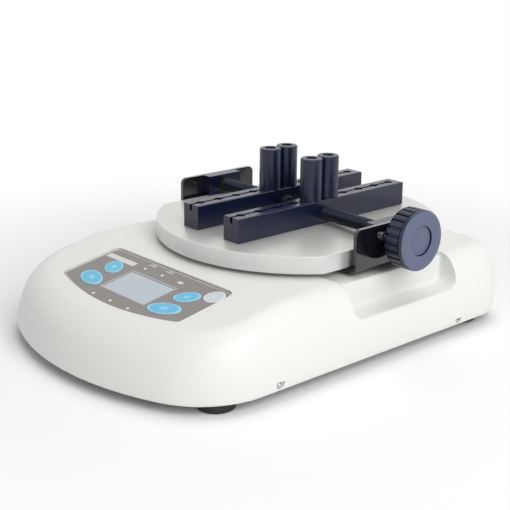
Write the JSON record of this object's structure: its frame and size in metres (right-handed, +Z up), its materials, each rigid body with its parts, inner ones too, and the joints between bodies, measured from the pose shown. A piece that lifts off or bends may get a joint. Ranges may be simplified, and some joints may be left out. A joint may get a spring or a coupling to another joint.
{
  "type": "torque tester",
  "caption": "Bench torque tester: a round table on a torque cell with screw-driven jaw bars and grip posts, a side knob, and a sloping panel with a display and keys.",
  "frame": {"origin": "centre of the round table's top face", "axes": "+Z up, out of the table's face; the operator stands at -Y, where the panel slopes down; the knob is on the +X side"},
  "size_m": [0.2119, 0.2864, 0.1089],
  "materials": {
    "cover": "soft satin off-white paint on a thin casting",
    "zinc_plate": "plain zinc",
    "screws": "bright zinc",
    "foot_rubber": "matt",
    "overlay": "satin printed film",
    "display": "clear satin pane over a grey display",
    "lights": "clear lens",
    "lcd": "display glass in a frame",
    "circuit_board": "green solder mask",
    "black_parts": "moulded",
    "cells": "plain printed sleeve",
    "machined_alloy": "fine machined",
    "table": "satin turned face, brushed rim",
    "bronze": "plain bronze",
    "wire": "sheath",
    "ribbon": "flat ribbon",
    "gloss_black_plate": "mirror-gloss black",
    "black_alloy": "black anodised",
    "screw_steel": "ground",
    "knob_plastic": "satin moulding",
    "blue_keys": "satin film over a dome",
    "power_key": "satin film over a dome",
    "post_rubber": "smooth"
  },
  "bodies": {
    "base": {"cover": "cover", "base_plate": "zinc_plate", "cover_screws": "screws", "foot_front_left": "foot_rubber", "foot_front_right": "foot_rubber", "foot_rear_left": "foot_rubber", "foot_rear_right": "foot_rubber", "foot_screws": "screws", "panel_overlay": "overlay", "display_window": "display", "indicator_lights": "lights", "lcd_module": "lcd", "display_board": "circuit_board", "display_board_screws": "screws", "key_switches": "black_parts", "main_board": "circuit_board", "main_board_parts": "black_parts", "main_board_screws": "screws", "dc_jack": "black_parts", "data_port": "zinc_plate", "battery_cells": "cells", "battery_tray": "black_parts", "sensor_pedestal": "machined_alloy", "pedestal_screws": "screws", "torque_sensor": "machined_alloy", "strain_gauges": "bronze", "sensor_screws": "screws", "sensor_lead": "wire", "display_cable": "ribbon"},
    "table": {"table_hub": "machined_alloy", "hub_screws": "screws", "table_disc": "table", "end_plate_right": "gloss_black_plate", "end_plate_left": "gloss_black_plate", "end_plate_screws": "screws", "bearing_block_right": "black_alloy", "bearing_block_left": "black_alloy", "bearing_block_screws": "screws", "screw_bushes": "bronze"},
    "screw": {"lead_screw": "screw_steel", "knob": "knob_plastic", "knob_cap": "knob_plastic", "knob_grub_screw": "screws", "shaft_collar": "screws"},
    "jaw_right": {"jaw_right": "black_alloy"},
    "jaw_left": {"jaw_left": "black_alloy"},
    "key_front_left": {"key_front_left": "blue_keys"},
    "key_front_right": {"key_front_right": "blue_keys"},
    "key_rear_left": {"key_rear_left": "blue_keys"},
    "key_rear_right": {"key_rear_right": "blue_keys"},
    "key_power": {"key_power": "power_key"},
    "post_right_front": {"post_sleeve_right_front": "post_rubber", "post_core_right_front": "screw_steel"},
    "post_right_rear": {"post_sleeve_right_rear": "post_rubber", "post_core_right_rear": "screw_steel"},
    "post_left_front": {"post_sleeve_left_front": "post_rubber", "post_core_left_front": "screw_steel"},
    "post_left_rear": {"post_sleeve_left_rear": "post_rubber", "post_core_left_rear": "screw_steel"}
  },
  "joints": [
    {"name": "table_twist", "type": "hinge", "parent": "base", "child": "table", "pos_m": [0, 0, 0], "axis": [0, 0, 1], "range_deg": [-0.5, 0.5], "stiffness_Nm_per_rad": 240},
    {"name": "knob_turn", "type": "hinge", "parent": "table", "child": "screw", "pos_m": [0, 0, 0.0065], "axis": [1, 0, 0], "range_deg": [-2161, 8461]},
    {"name": "jaw_right_slide", "type": "slide", "parent": "table", "child": "jaw_right", "axis": [1, 0, 0], "range_m": [-0.012, 0.047]},
    {"name": "jaw_left_slide", "type": "slide", "parent": "table", "child": "jaw_left", "axis": [-1, 0, 0], "range_m": [-0.012, 0.047]},
    {"name": "post_right_front_lift", "type": "slide", "parent": "jaw_right", "child": "post_right_front", "axis": [0, 0, 1], "range_m": [0, 0.009]},
    {"name": "post_right_rear_lift", "type": "slide", "parent": "jaw_right", "child": "post_right_rear", "axis": [0, 0, 1], "range_m": [0, 0.009]},
    {"name": "post_left_front_lift", "type": "slide", "parent": "jaw_left", "child": "post_left_front", "axis": [0, 0, 1], "range_m": [0, 0.009]},
    {"name": "post_left_rear_lift", "type": "slide", "parent": "jaw_left", "child": "post_left_rear", "axis": [0, 0, 1], "range_m": [0, 0.009]},
    {"name": "key_front_left_press", "type": "slide", "parent": "base", "child": "key_front_left", "axis": [0, 0.1822, -0.9833], "range_m": [0, 0.0005], "stiffness_N_per_m": 1500},
    {"name": "key_front_right_press", "type": "slide", "parent": "base", "child": "key_front_right", "axis": [0, 0.1822, -0.9833], "range_m": [0, 0.0005], "stiffness_N_per_m": 1500},
    {"name": "key_rear_left_press", "type": "slide", "parent": "base", "child": "key_rear_left", "axis": [0, 0.1822, -0.9833], "range_m": [0, 0.0005], "stiffness_N_per_m": 1500},
    {"name": "key_rear_right_press", "type": "slide", "parent": "base", "child": "key_rear_right", "axis": [0, 0.1822, -0.9833], "range_m": [0, 0.0005], "stiffness_N_per_m": 1500},
    {"name": "key_power_press", "type": "slide", "parent": "base", "child": "key_power", "axis": [0, 0.1822, -0.9833], "range_m": [0, 0.0005], "stiffness_N_per_m": 1500}
  ],
  "couplings": [
    {"joint": "knob_turn", "follows": "jaw_right_slide", "rad_per_m": 3141.6},
    {"joint": "jaw_left_slide", "follows": "jaw_right_slide", "ratio": 1}
  ]
}
